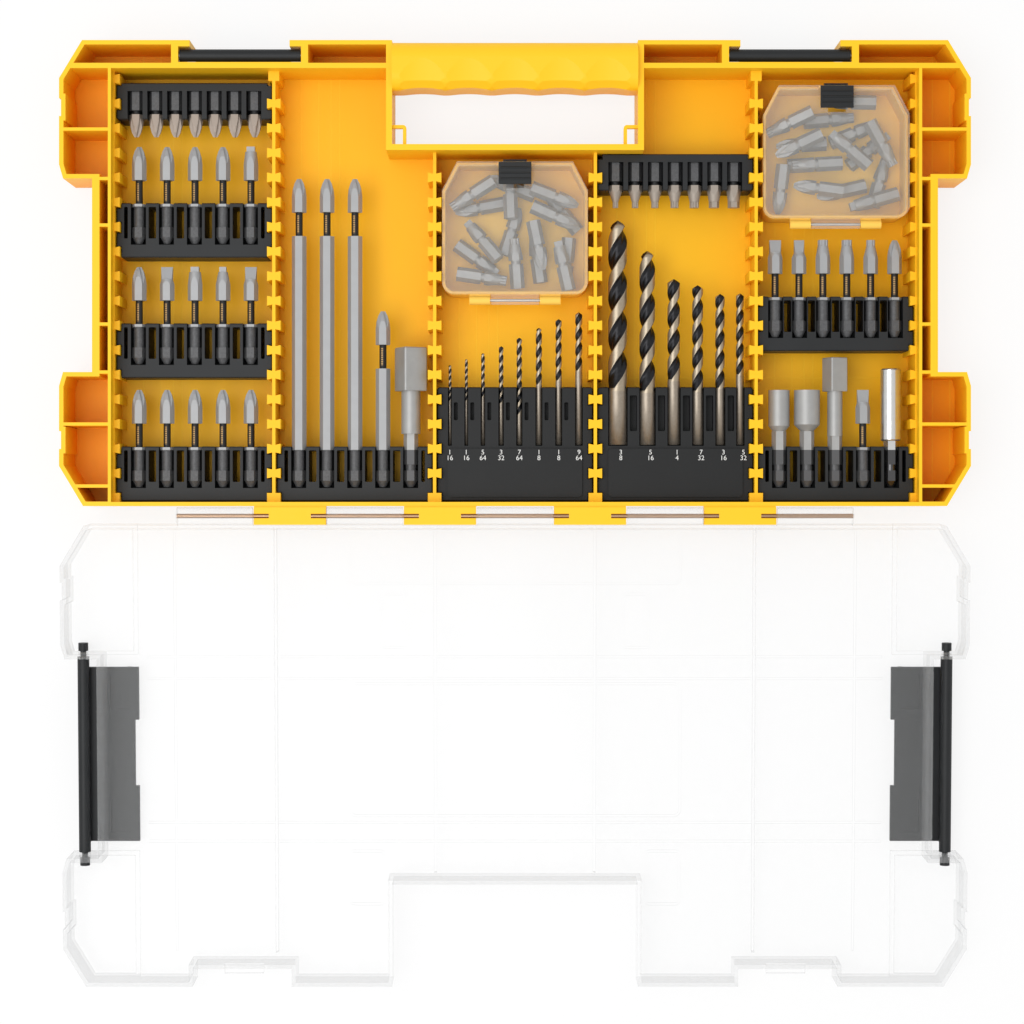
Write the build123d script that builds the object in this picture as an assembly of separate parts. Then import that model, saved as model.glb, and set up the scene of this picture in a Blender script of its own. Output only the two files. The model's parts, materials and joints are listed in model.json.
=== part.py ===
from build123d import *
import os
import random
from math import asin, atan2, cos, degrees, hypot, radians, sin, sqrt

# Overall sizes of the case, in millimetres
case_width = 456.0
case_reach = 238.0          # hinge axis to the far outer edge of each half
hinge_setback = 5.0         # hinge axis to the near outer edge of each half
tray_height = 36.0
lid_depth = 24.0
rim_gap = 0.35              # between the closed lid's rim and the tray's rim

# Outer plan of both halves: corner cuts, side necks and grip grooves
far_corner_cut_x = 11.5
far_corner_cut_y = 19.0
near_corner_cut_x = 12.0
near_corner_cut_y = 20.0
neck_depth = 18.0           # how far the side necks step in
neck_near = 72.0            # from the hinge axis
tray_neck_far = 168.8
lid_neck_far = 173.0        # the lid's necks are longer, for the rods of the side latches
neck_corner_x = 2.0
neck_corner_y = 7.0
groove_depth = 1.0
groove_width = 9.0
groove_near = 38.0          # groove centres, from the hinge axis
groove_far = 204.5

# Tray walls, columns and dividers
floor_thickness = 2.5
outer_wall = 2.2
inner_wall = 1.5
near_wall = 2.0
far_wall = 2.6
column_pitch = 81.0
column_count = 5
cavity_far = 224.0          # far inner face of the columns, from the hinge axis
divider_height = 27.0       # top of the dividers above the underside
rib_thickness = 1.6
tooth_pitch = 12.42
tooth_count = 16
tooth_reach = 3.4           # from the rib's middle to the tooth's outer face
tooth_tip_length = 5.0
tooth_root_length = 3.4
first_tooth = 21.5          # centre of the nearest tooth, from the hinge axis
divider_head_thickness = 5.5
divider_head_near = 219.2
divider_foot_far = 11.6
comb_backing = 0.4
pocket_rib_lower = [46.0, 15.0]
pocket_rib_neck = [96.0, 145.5]
pocket_rib_upper = [193.5]
top_pocket_outer = 172.0    # x of the wall beyond the latch recesses

# Handle and its opening
opening_half_width = 61.5
opening_near = 186.0        # from the hinge axis
opening_far = 213.0
opening_wall = 3.0
handle_low = 12.0
handle_high = 40.0
handle_far = 237.2
handle_edge_radius = 8.0
finger_count = 5
finger_pitch = 23.2
finger_radius = 45.0
finger_depth = 1.4
finger_tilts = [0.0, 40.0, 80.0]    # scoops on the inner side, the edge and the top
loop_width = 7.0
loop_length = 10.0
loop_thickness = 3.0
loop_wall = 1.7
loop_top = 33.0

# Main hinge
knuckle_radius = 4.4
lid_knuckle_width = 38.0
lid_knuckle_pitch = 75.0
lid_knuckle_count = 5
knuckle_gap = 0.5           # between a lid barrel and the tray's flange
flange_reach = 4.4          # the flange carries the pins past the hinge axis
flange_rise = 1.2           # flange's top above the axis
hinge_pin_diameter = 2.2
pin_slot_length = 7.5       # open-topped part of a pin's seat
pin_seat_length = 2.0       # covered part at the pin's end
pin_clearance = 0.1         # round a pin that turns
fixed_clearance = 0.02      # round a pin that is fixed

# Front latches
latch_center_x = 137.75
latch_bar_length = 60.5
latch_bar_diameter = 6.2
latch_pocket_length = 61.5
latch_flap_width = 47.0
latch_flap_opening = 50.0
latch_flap_thickness = 3.0
latch_flap_reach = 25.0
latch_pivot_drop = 4.0      # pivot below the tray's rim
latch_pin_diameter = 2.5
latch_recess_face = 227.0   # tray's face behind the latch, from the hinge axis
latch_stop = 234.9          # inner face of the end blocks
catch_width = 20.0
catch_height = 3.0
catch_rise = 15.5           # catch's middle above the pivot
catch_reach = 4.6
latch_window_clearance = 0.6
body_clearance = 0.5        # between pieces that move past each other

# Side latches
side_rod_diameter = 6.0
side_rod_x = 219.5
side_rod_knob = 5.0         # diameter of the snap ends inside the lid
side_rod_knob_length = 4.0
side_web = 5.0              # thickness of the web between rod and flap
side_flap_near = 78.5       # from the hinge axis
side_flap_far = 168.0
side_flap_thickness = 2.5
side_flap_inner = 192.3     # x of the free edge when folded back
side_window_length = 17.0
side_window_width = 10.0
side_window_depth = 0.8
side_window_inset = 4.5     # from the flap's ends and its free edge
side_notch_depth = 2.0
side_notch_length = 34.0
side_tooth = 1.5
side_tooth_height = 1.8
side_stub_diameter = 3.0
side_lip = 1.5
side_lip_height = 3.0

# Lid shell and its raised pattern
lid_wall = 2.0
lid_plate = 2.2
lid_sink = 2.0              # how far the middle panel lies below the corner blocks
lid_rib_height = 5.0
lid_rib_thickness = 1.4
lid_pad_x = 192.4           # inner edge of the raised corner pads
bead_height = 0.8
bead_width = 1.2
bead_corner = 4.0
panel_half_width = 84.8
panel_reach = 36.0
label_half_width = 7.0
label_x = 61.4
label_near = 40.2
label_far = 68.7
band_half_width = 187.0
band_lines = [72.8, 84.0, 157.8, 167.5]
side_line_x = 173.0
window_near = 86.0
window_far = 155.0
step_half_width = 9.0
step_x = 75.5
step_near = 172.0
step_far = 200.5

# Hexagon drive and the bits
hex_flats = 6.35
insert_length = 25.4
insert_pitch = 10.0
insert_shank_length = 12.4
insert_ring_length = 1.8
power_length = 49.2
power_pitch = 14.15
six_pitch = 12.1
long_length = 156.0
reach_length = 89.0
bit_head_length = 17.0
bit_neck_length = 12.1
bit_neck_diameter = 3.6
bit_tail_length = 8.4
bit_groove_diameter = 5.4
bit_groove_length = 10.0
bit_ring_diameter = 5.0
bit_taper_length = 9.0      # head tapers like a pencil towards its tip
cross_point = 0.35          # radius that the flutes of a cross tip leave at its very end
cross_end = 1.1             # radius of a cross tip's wings at their very end
cross_bulge = [(0.4, 0.9), (0.75, 0.64)]   # share of the taper's length and of the head's radius
star_tip_length = 3.0
square_tip_length = 2.6
hex_tip_length = 3.0
slot_tip_length = 6.6
slot_blade_angle = 12.0
slot_blade_thickness = 1.0
flute_radius = 3.2
square_radius = 2.9
small_square_radius = 2.4
star_radius = 2.6
small_star_radius = 2.2
blade_radius = 3.0
small_blade_radius = 2.6
insert_cross_radii = [3.1, 3.0, 3.0, 2.8, 2.8, 2.5, 2.5]
insert_star_radii = [1.5, 1.7, 1.9, 2.1, 2.4]
insert_hex_radii = [2.6, 3.0]
five_slots = 5
seven_slots = 7

# Bit bars and drill racks
bar_end_gap = 0.4           # bar's end to the divider's rib, and round each tooth
bar_base = 0.4              # gap under a bar
bar_top = 23.0
bit_axis_height = 20.0
insert_axis_height = 17.5
bar_edge = 0.5              # bevel along a bar's top
slot_clearance = 0.15
insert_bar_depth = 18.5
insert_bar_lip = 1.2
insert_bridge = 3.0         # covered part of a slot at the bit's tail
power_bar_depth = 27.5
power_bar_back = 7.0
lower_bar_near = 7.6        # from the hinge axis, bars against the near wall
window_width = 3.8
window_length = 16.0
window_margin = 1.9         # from the bar's open side
window_corner = 0.6
end_window_width = 1.9
end_window_offset = 6.3     # from the outermost slots
rack_depth = 57.5
rack_shank_end = 28.4       # from the rack's near face to the drills' ends
recess_wall = 1.1           # between a drill's slot and the recess beside it
recess_depth = 7.0
small_recess_far = 7.7      # from the rack's far face
small_recess_length = 9.0
small_recess_width = 2.0
large_recess_far = 4.2
large_recess_length = 18.0
large_recess_width = 3.6
label_rise = 1.6
label_margin = 2.0
lift = 45.0                 # how far bars and boxes lift out

# Where the bars stand: near face from the hinge axis
insert_left_near = 200.3
power_top_near = 130.6
power_middle_near = 69.8
insert_right_near = 164.4
power_right_near = 83.4

# Drills: nominal diameters in inches, lengths seen beyond the shank ends
inch = 25.4
small_drill_inches = [1 / 16, 1 / 16, 5 / 64, 3 / 32, 7 / 64, 1 / 8, 1 / 8, 9 / 64]
small_drill_lengths = [40.4, 43.5, 46.5, 50.0, 54.3, 59.3, 63.7, 67.2]
small_drill_x = [-32.9, -24.6, -16.2, -7.0, 2.2, 12.1, 22.1, 32.3]
large_drill_inches = [3 / 8, 5 / 16, 1 / 4, 7 / 32, 3 / 16, 5 / 32]
large_drill_lengths = [113.7, 98.3, 84.1, 80.9, 76.5, 76.8]
large_drill_x = [-29.0, -14.0, -0.6, 11.5, 22.8, 32.9]
drill_point_angle = 118.0

# Socket adapters, nut drivers and the magnetic holder
half_square = 12.7
half_head_length = 22.0
half_neck_diameter = 9.6
half_neck_length = 21.7
three_eighths_square = 9.53
three_head_length = 17.0
three_neck_diameter = 7.6
three_neck_length = 22.7
head_corner_share = 1 / 12    # rounding of a square head's corners, over its side
ball_place = 0.6            # detent ball's place along the head
ball_share = 0.36           # detent ball diameter over the square's side
half_turn = 28.0            # how far the square heads are turned about their length
three_turn = 25.0
half_shank = 27.0
three_shank = 25.8
driver_shank = 28.3
driver_groove_length = 3.0
holder_shank = 23.4
driver_small_diameter = 10.6
driver_small_flats = 6.35
driver_large_diameter = 13.0
driver_large_flats = 7.94
driver_length = 20.7
driver_bore = 9.0
magnet_length = 3.0
holder_diameter = 10.4
holder_length = 36.5
holder_bore = 10.0

# Small bit boxes
box_width = 73.4
box_depth = 66.5
box_base_height = 19.0
box_lid_height = 5.5
box_wall = 1.5
box_floor = 1.5
box_corner_x = 7.5
box_corner_y = 14.5
box_round = 6.0
box_gap = 0.35              # between a box and its lid
box_plate = 1.2
box_hinge_setback = 3.0
box_left_near = 112.0
box_right_near = 150.4
box_knuckle_width = 24.5
box_knuckle_radius = 2.2
box_lug_width = 10.4
box_lug_gap = 0.35
box_pin_diameter = 1.4
slider_width = 16.5
slider_length = 11.0
slider_height = 1.5
slider_setback = 0.5        # slider's far end behind the box's far face
slider_travel = 5.0
slider_ridges = 3
slider_ridge = 0.9
tongue_width = 12.0
tongue_thickness = 1.2
tongue_reach = 1.5          # past the box's far face when locked
tongue_rise = 1.5           # above the box's rim
stem_width = 8.0
stem_length = 4.0
keeper_width = 17.5
keeper_height = 4.0
box_bead_x = 15.0
loose_count = 24
loose_tries = 250
loose_step = 0.6            # height step when a loose bit is dropped
loose_tilt = 12.0
loose_top = 20.2            # no loose bit reaches higher than this
loose_gap = 0.3
star_lobes = 6
flute_count = 4
point_radius = 0.01        # a drill's point is a tiny flat
sleeve_edge_share = 1 / 8   # bevel of the round sleeve, over its radius

# Sizes that follow from the values above
hinge_y = -(case_reach + hinge_setback) / 2
hinge_z = tray_height + rim_gap / 2
hinge_axis = Axis((0, hinge_y, hinge_z), (1, 0, 0))
half_width = case_width / 2
neck_x = half_width - neck_depth
wall_face = column_pitch * column_count / 2 - rib_thickness / 2
cavity_half_width = wall_face + comb_backing
cavity_near = hinge_setback + near_wall
cavity_step = opening_near - opening_wall
cavity_step_x = opening_half_width + opening_wall
lid_rim = hinge_z + rim_gap / 2
lid_top = lid_rim + lid_depth
lid_face = lid_top - lid_sink
corner_radius = hypot(case_reach, lid_top - hinge_z)
corner_angle = degrees(atan2(lid_top - hinge_z, case_reach))
open_angle = 180 + degrees(asin(hinge_z / corner_radius)) - corner_angle
latch_pivot_y = hinge_y + (latch_recess_face + latch_stop) / 2
latch_pivot_z = tray_height - latch_pivot_drop
side_flap_offset = side_rod_x - (neck_x + side_lip + body_clearance + side_flap_thickness)
side_rod_z = lid_face + body_clearance - side_flap_offset
hex_corners = hex_flats / cos(radians(30))
bar_width = column_pitch - rib_thickness - 2 * bar_end_gap
bar_bottom = floor_thickness + bar_base
divider_x = [(i + 1 - column_count / 2) * column_pitch for i in range(column_count - 1)]
column_x = [(i - (column_count - 1) / 2) * column_pitch for i in range(column_count)]
tooth_y = [hinge_y + first_tooth + i * tooth_pitch for i in range(tooth_count)]
comb_y = tooth_y + [tooth_y[-1] + tooth_pitch]
lid_knuckle_x = [(i - (lid_knuckle_count - 1) / 2) * lid_knuckle_pitch
                 for i in range(lid_knuckle_count)]
pin_overhang = knuckle_gap + pin_slot_length + pin_seat_length
flange_half = lid_knuckle_x[-1] - lid_knuckle_width / 2 - knuckle_gap


def save(name, *solids):
    """Write one named piece, or a group of like pieces, to its own file."""
    shape = solids[0] if len(solids) == 1 else Compound(children=list(solids))
    shape.label = name
    export_step(shape, f"parts/{name}.step")


def block(x_range, y_range, z_range):
    """A box given by its limits along each axis."""
    size = [high - low for low, high in (x_range, y_range, z_range)]
    middle = [(high + low) / 2 for low, high in (x_range, y_range, z_range)]
    return Pos(*middle) * Box(*size)


def sheet(x_range, y_range):
    """A flat rectangle given by its limits."""
    middle = Pos((x_range[0] + x_range[1]) / 2, (y_range[0] + y_range[1]) / 2)
    return middle * Rectangle(x_range[1] - x_range[0], y_range[1] - y_range[0])


def raised(sketch, low, high):
    """A flat shape given height between two levels."""
    return Pos(0, 0, low) * extrude(sketch, amount=high - low)


def rod(x, y, z, length, radius, direction="Y"):
    """A round bar centred on a point, along X or Y."""
    turn = Rot(90, 0, 0) if direction == "Y" else Rot(0, 90, 0)
    return Pos(x, y, z) * turn * Cylinder(radius, length)


def both_sides(shape):
    """The shape and its mirror image across the case's middle."""
    return [shape, shape.mirror(Plane.YZ)]


def case_outline(neck_far):
    """Outer plan of the tray or of the lid, with its necks and grip grooves."""
    right = [
        (0, hinge_setback),
        (half_width - near_corner_cut_x, hinge_setback),
        (half_width, hinge_setback + near_corner_cut_y),
        (half_width, groove_near - groove_width / 2),
        (half_width - groove_depth, groove_near - groove_width / 2),
        (half_width - groove_depth, groove_near + groove_width / 2),
        (half_width, groove_near + groove_width / 2),
        (half_width, neck_near - neck_corner_y),
        (half_width - neck_corner_x, neck_near),
        (neck_x, neck_near),
        (neck_x, neck_far),
        (half_width - neck_corner_x, neck_far),
        (half_width, neck_far + neck_corner_y),
        (half_width, groove_far - groove_width / 2),
        (half_width - groove_depth, groove_far - groove_width / 2),
        (half_width - groove_depth, groove_far + groove_width / 2),
        (half_width, groove_far + groove_width / 2),
        (half_width, case_reach - far_corner_cut_y),
        (half_width - far_corner_cut_x, case_reach),
        (0, case_reach),
    ]
    points = [(x, hinge_y + y) for x, y in right]
    points += [(-x, y) for x, y in reversed(points[1:-1])]
    return Polygon(*points, align=None)


def cavity_plan(grow=0.0):
    """Plan of the columns' space, stepping in below the handle."""
    side = cavity_half_width + grow
    step_x = cavity_step_x - grow
    right = [
        (side, cavity_near - grow),
        (side, cavity_far + grow),
        (step_x, cavity_far + grow),
        (step_x, cavity_step + grow),
    ]
    points = [(x, hinge_y + y) for x, y in right]
    points += [(-x, y) for x, y in reversed(points)]
    return Polygon(*points, align=None)


def handle_gap_plan():
    """Plan of the space behind and over the handle."""
    side = opening_half_width
    return sheet((-side, side), (hinge_y + opening_near, hinge_y + case_reach + outer_wall))


def tray_pockets():
    """Plan of the corner, neck and top pockets round the columns."""
    room = offset(case_outline(tray_neck_far), amount=-outer_wall, kind=Kind.INTERSECTION)
    room -= cavity_plan(inner_wall)
    middle = cavity_step_x
    room -= sheet((-middle, middle), (hinge_y, hinge_y + case_reach))
    room -= sheet((-half_width, half_width), (hinge_y, hinge_y + cavity_near))
    low_rest = hinge_y + latch_recess_face - outer_wall
    for x in (-latch_center_x, latch_center_x):
        half = top_pocket_outer - latch_center_x
        room -= sheet((x - half, x + half), (low_rest, hinge_y + case_reach))
    ribs = pocket_rib_lower + pocket_rib_neck + pocket_rib_upper + [neck_near, tray_neck_far]
    for distance in ribs:
        y = hinge_y + distance
        room -= sheet((-half_width, half_width), (y - rib_thickness / 2, y + rib_thickness / 2))
    far_side = cavity_far + far_wall
    room -= sheet((-half_width, half_width), (hinge_y + cavity_far, hinge_y + far_side))
    return room


def latch_pocket(x):
    """Space in the tray's far wall for one front latch and its pivot."""
    back = hinge_y + latch_recess_face
    half = latch_pocket_length / 2
    seat = block((x - half, x + half), (back, hinge_y + latch_stop), (-1, tray_height + 1))
    half = latch_flap_opening / 2
    mouth = block((x - half, x + half), (back, hinge_y + case_reach + 1), (-1, tray_height + 1))
    return seat + mouth


def hinge_flange():
    """Shelf along the near wall that carries the hinge pins between the lid's barrels."""
    sides = (-flange_half, flange_half)
    low, high = hinge_z - knuckle_radius, hinge_z + flange_rise
    shelf = block(sides, (hinge_y - flange_reach, hinge_y + flange_reach), (low, high))
    shelf += block(sides, (hinge_y, hinge_y + cavity_near), (low, hinge_z - rim_gap / 2))
    half = lid_knuckle_width / 2 + knuckle_gap
    seat = hinge_pin_diameter / 2 + fixed_clearance
    for x in lid_knuckle_x[1:-1]:
        shelf -= block((x - half, x + half), (hinge_y - hinge_setback, hinge_y + hinge_setback),
                       (low - 1, high + 1))
    for x in lid_knuckle_x:
        shelf -= block((x - half - pin_slot_length, x + half + pin_slot_length),
                       (hinge_y - seat, hinge_y + seat), (hinge_z, high + 1))
    return shelf


def handle():
    """Carrying bar with a finger grip on its inner side."""
    low, high = hinge_y + opening_far, hinge_y + handle_far
    section = Plane.YZ * (Pos((low + high) / 2, (handle_low + handle_high) / 2)
                          * RectangleRounded(high - low, handle_high - handle_low,
                                             handle_edge_radius))
    bar = extrude(section, amount=opening_half_width, both=True)
    flat_y = (high - low) / 2 - handle_edge_radius
    flat_z = (handle_high - handle_low) / 2 - handle_edge_radius
    for tilt in finger_tilts:
        across, up = cos(radians(tilt)), sin(radians(tilt))
        reach = flat_y * across + flat_z * up + handle_edge_radius + finger_radius - finger_depth
        y, z = (low + high) / 2 - reach * across, (handle_low + handle_high) / 2 + reach * up
        for i in range(finger_count):
            x = (i - (finger_count - 1) / 2) * finger_pitch
            bar -= Pos(x, y, z) * Rot(-tilt, 0, 0) * Cylinder(finger_radius, 3 * handle_high)
    return bar


def padlock_loops():
    """Small eyes in the near corners of the handle's opening."""
    x_inner = opening_half_width - loop_width
    y_low = hinge_y + opening_near
    outer = sheet((x_inner, opening_half_width), (y_low, y_low + loop_length))
    outer = fillet(outer.vertices().sort_by(Axis.X)[0:2].sort_by(Axis.Y)[-1:], loop_wall)
    hole = sheet((x_inner + loop_wall, opening_half_width), (y_low, y_low + loop_length - loop_wall))
    loop = raised(outer - hole, loop_top - loop_thickness, loop_top)
    return both_sides(loop)


def side_lips():
    """Ledges on the necks that the side latches hook under."""
    y_range = (hinge_y + neck_near, hinge_y + tray_neck_far)
    lip = block((neck_x, neck_x + side_lip), y_range, (tray_height - side_lip_height, tray_height))
    return both_sides(lip)


def make_tray():
    """The moulded lower half: floor, walls, pockets, handle and hinge flange."""
    tray = raised(case_outline(tray_neck_far), 0, tray_height)
    tray -= raised(cavity_plan(), floor_thickness, tray_height + 1)
    tray -= raised(tray_pockets(), floor_thickness, tray_height + 1)
    tray -= raised(handle_gap_plan(), -1, tray_height + 1)
    for x in (-latch_center_x, latch_center_x):
        tray -= latch_pocket(x)
    tray += handle()
    for piece in [hinge_flange()] + padlock_loops() + side_lips():
        tray += piece
    pin_radius = hinge_pin_diameter / 2 + fixed_clearance
    tray -= rod(0, hinge_y, hinge_z, case_width, pin_radius, "X")
    latch_pin_radius = latch_pin_diameter / 2 + fixed_clearance
    for x in (-latch_center_x, latch_center_x):
        tray -= rod(x, latch_pivot_y, latch_pivot_z, latch_pin_length(), latch_pin_radius, "X")
    return tray.solids().sort_by(SortBy.VOLUME)[-1]


def latch_pin_length():
    """A latch pin reaches into the tray at both ends of its pocket."""
    return latch_pocket_length + 2 * outer_wall


def tooth_plan(x, y):
    """Plan of one bow-tie tooth across a divider."""
    tip, root, reach = tooth_tip_length / 2, tooth_root_length / 2, tooth_reach
    return Pos(x, y) * Polygon((0, -root), (reach, -tip), (reach, tip), (0, root),
                               (-reach, tip), (-reach, -tip), align=None)


def divider(x):
    """One toothed wall between two columns."""
    under_handle = abs(x) < cavity_step_x
    far_end = hinge_y + (cavity_step if under_handle else cavity_far)
    near_end = hinge_y + cavity_near
    half = rib_thickness / 2
    plan = sheet((x - half, x + half), (near_end, far_end))
    foot = (near_end, hinge_y + divider_foot_far)
    plan += sheet((x - tooth_reach, x + tooth_reach), foot)
    if not under_handle:
        half = divider_head_thickness / 2
        plan += sheet((x - half, x + half), (hinge_y + divider_head_near, far_end))
    for y in tooth_y:
        if y + tooth_tip_length < far_end:
            plan += tooth_plan(x, y)
    return raised(plan, floor_thickness, divider_height)


def end_comb():
    """Half teeth along the inner side wall of the last column."""
    x = wall_face + rib_thickness / 2
    y_range = (hinge_y + cavity_near, hinge_y + cavity_far)
    plan = sheet((x - tooth_reach, x), (y_range[0], hinge_y + divider_foot_far))
    plan += sheet((wall_face, cavity_half_width), y_range)
    for y in comb_y:
        plan += tooth_plan(x, y)
    plan &= sheet((0, cavity_half_width), y_range)
    return raised(plan, floor_thickness, divider_height)


def make_dividers():
    """All toothed walls of the tray."""
    return [divider(x) for x in divider_x] + both_sides(end_comb())


def make_hinge_pins():
    """Steel pins through the main hinge's barrels."""
    pins = []
    for x in lid_knuckle_x:
        ends = [x - lid_knuckle_width / 2, x + lid_knuckle_width / 2]
        if x > lid_knuckle_x[0]:
            ends[0] -= pin_overhang
        if x < lid_knuckle_x[-1]:
            ends[1] += pin_overhang
        pins.append(rod(sum(ends) / 2, hinge_y, hinge_z, ends[1] - ends[0],
                        hinge_pin_diameter / 2, "X"))
    return pins


def opened(shape):
    """Turn a piece of the lid from its closed place to lie open on the table."""
    return shape.rotate(hinge_axis, open_angle)


def lid_plan():
    """Outer plan of the lid, cut out for the handle and the front latches."""
    side = opening_half_width + body_clearance
    far = hinge_y + case_reach + 1
    plan = case_outline(lid_neck_far) - sheet((-side, side), (hinge_y + opening_near, far))
    face = latch_pivot_y - latch_flap_thickness / 2 - body_clearance
    half = latch_flap_opening / 2
    for x in (-latch_center_x, latch_center_x):
        plan -= sheet((x - half, x + half), (face, far))
    return plan


def pad_zone(near, far):
    """Plan limits of the raised corner pads at one end of the lid."""
    right = sheet((lid_pad_x, half_width + 1), (hinge_y + near, hinge_y + far))
    return right + right.mirror(Plane.YZ)


def ring(x_range, y_range, radius):
    """Plan of a narrow bead round a rectangle with rounded corners."""
    width, length = x_range[1] - x_range[0], y_range[1] - y_range[0]
    middle = Pos((x_range[0] + x_range[1]) / 2, hinge_y + (y_range[0] + y_range[1]) / 2)
    outer = RectangleRounded(width, length, radius)
    inner = RectangleRounded(width - 2 * bead_width, length - 2 * bead_width, radius - bead_width)
    return middle * (outer - inner)


def bead_plan():
    """Plan of the raised lines on the lid's inner face."""
    plan = ring((-panel_half_width, panel_half_width), (cavity_near, panel_reach), bead_corner)
    for x in (-label_x, label_x):
        plan += ring((x - label_half_width, x + label_half_width), (label_near, label_far),
                     2 * bead_width)
    for distance in band_lines:
        y = hinge_y + distance
        plan += sheet((-band_half_width, band_half_width), (y - bead_width / 2, y + bead_width / 2))
    plan += ring((-panel_half_width, panel_half_width), (window_near, window_far), bead_corner)
    for x in (-side_line_x, side_line_x):
        y_range = (hinge_y + cavity_near, hinge_y + cavity_far)
        plan += sheet((x - bead_width / 2, x + bead_width / 2), y_range)
    for x in (-step_x, step_x):
        plan += ring((x - step_half_width, x + step_half_width), (step_near, step_far),
                     2 * bead_width)
    return plan


def lid_knuckles():
    """Hinge barrels along the lid's near wall."""
    pieces = []
    for x in lid_knuckle_x:
        barrel = rod(x, hinge_y, hinge_z, lid_knuckle_width, knuckle_radius, "X")
        half = lid_knuckle_width / 2
        web = block((x - half, x + half), (hinge_y, hinge_y + hinge_setback + lid_wall),
                    (lid_rim, hinge_z + knuckle_radius))
        pieces.append(barrel + web)
    return pieces


def lid_catch(x):
    """Ledge on the lid's far wall that holds a front latch."""
    face = latch_pivot_y - latch_flap_thickness / 2 - body_clearance
    z = latch_pivot_z + catch_rise
    return block((x - catch_width / 2, x + catch_width / 2), (face, face + catch_reach),
                 (z - catch_height / 2, z + catch_height / 2))


def lid_ribs():
    """Hold-down ribs under the lid's plate, in line with the tray's dividers."""
    ribs = []
    for x in divider_x:
        far = cavity_step if abs(x) < cavity_step_x else cavity_far
        half = lid_rib_thickness / 2
        ceiling = lid_face - lid_plate
        ribs.append(block((x - half, x + half), (hinge_y + hinge_setback, hinge_y + far),
                          (ceiling - lid_rib_height, ceiling)))
    return ribs


def make_lid():
    """The clear moulded upper half, in its closed place."""
    plan = lid_plan()
    pads = pad_zone(0, neck_near) + pad_zone(lid_neck_far, case_reach + 1)
    lid = raised(plan, lid_rim, lid_face) + raised(plan & pads, lid_face, lid_top)
    hollow = offset(plan, amount=-lid_wall, kind=Kind.INTERSECTION)
    lid -= raised(hollow, lid_rim - 1, lid_face - lid_plate)
    pad_room = hollow & offset(pads, amount=-lid_wall, kind=Kind.INTERSECTION)
    lid -= raised(pad_room, lid_rim, lid_top - lid_plate)
    ceiling = lid_face - lid_plate
    lid += raised(bead_plan() & hollow, ceiling - bead_height, ceiling)
    for piece in lid_ribs() + lid_knuckles():
        lid += piece
    for x in (-latch_center_x, latch_center_x):
        lid += lid_catch(x)
    bore = hinge_pin_diameter / 2 + pin_clearance
    lid -= rod(0, hinge_y, hinge_z, case_width, bore, "X")
    stub_bore = side_stub_diameter / 2 + pin_clearance
    middle = hinge_y + (neck_near + lid_neck_far) / 2
    reach = lid_neck_far - neck_near + 2 * lid_wall + 2
    for x in (-side_rod_x, side_rod_x):
        lid -= rod(x, middle, side_rod_z, reach, stub_bore)
    return lid.solids().sort_by(SortBy.VOLUME)[-1]


def make_front_latch(x):
    """A black latch hanging from its pivot on the tray."""
    barrel = rod(x, latch_pivot_y, latch_pivot_z, latch_bar_length, latch_bar_diameter / 2, "X")
    half = latch_flap_width / 2
    y_range = (latch_pivot_y - latch_flap_thickness / 2, latch_pivot_y + latch_flap_thickness / 2)
    flap = block((x - half, x + half), y_range,
                 (latch_pivot_z - latch_flap_reach, latch_pivot_z))
    low_edges = flap.edges().filter_by(Axis.Y).group_by(Axis.Z)[0]
    flap = fillet(low_edges, latch_flap_thickness)
    half = catch_width / 2 + latch_window_clearance
    rise = catch_height / 2 + latch_window_clearance
    flap -= block((x - half, x + half), (y_range[0] - 1, y_range[1] + 1),
                  (latch_pivot_z - catch_rise - rise, latch_pivot_z - catch_rise + rise))
    bore = latch_pin_diameter / 2 + pin_clearance
    latch = barrel + flap
    return latch - rod(x, latch_pivot_y, latch_pivot_z, latch_bar_length + 2, bore, "X")


def make_latch_pins():
    """Steel pivot pins of both front latches."""
    return [rod(x, latch_pivot_y, latch_pivot_z, latch_pin_length(), latch_pin_diameter / 2, "X")
            for x in (-latch_center_x, latch_center_x)]


def make_side_latch():
    """The right-hand side latch in the lid's closed place, its flap folded back on the lid."""
    middle = hinge_y + (neck_near + lid_neck_far) / 2
    neck_length = lid_neck_far - neck_near
    latch = rod(side_rod_x, middle, side_rod_z, neck_length - 2 * body_clearance,
                side_rod_diameter / 2)
    stub_length = neck_length + 2 * lid_wall + 2 * body_clearance
    latch += rod(side_rod_x, middle, side_rod_z, stub_length, side_stub_diameter / 2)
    for sign in (-1, 1):
        y = middle + sign * (stub_length + side_rod_knob_length) / 2
        latch += rod(side_rod_x, y, side_rod_z, side_rod_knob_length, side_rod_knob / 2)
    y_range = (hinge_y + side_flap_near, hinge_y + side_flap_far)
    low = side_rod_z + side_flap_offset
    high = low + side_flap_thickness
    latch += block((side_rod_x - side_web / 2, side_rod_x + side_web / 2), y_range,
                   (side_rod_z, high))
    latch += block((side_flap_inner, side_rod_x), y_range, (low, high))
    tooth_far_x = side_rod_x - (side_rod_z - (tray_height - side_lip_height - body_clearance))
    latch += block((tooth_far_x - side_tooth_height, tooth_far_x),
                   y_range, (high, high + side_tooth))
    half = side_notch_length / 2
    latch -= block((side_flap_inner - 1, side_flap_inner + side_notch_depth),
                   (middle - half, middle + half), (low - 1, high + 1))
    for y_low in (y_range[0] + side_window_inset,
                  y_range[1] - side_window_inset - side_window_length):
        x_low = side_flap_inner + side_window_inset
        latch -= block((x_low, x_low + side_window_width), (y_low, y_low + side_window_length),
                       (low - 1, low + side_window_depth))
    return latch


def hexagon(flats):
    """Plan of a hexagon from its width over the flats."""
    return RegularPolygon(flats / 2, 6, major_radius=False)


def profile(points):
    """A turned shape along +Z from the radius at each height."""
    outline = [(0, points[0][1])] + points + [(0, points[-1][1])]
    return revolve(Plane.XZ * Polygon(*outline, align=None), Axis.Z)


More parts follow.
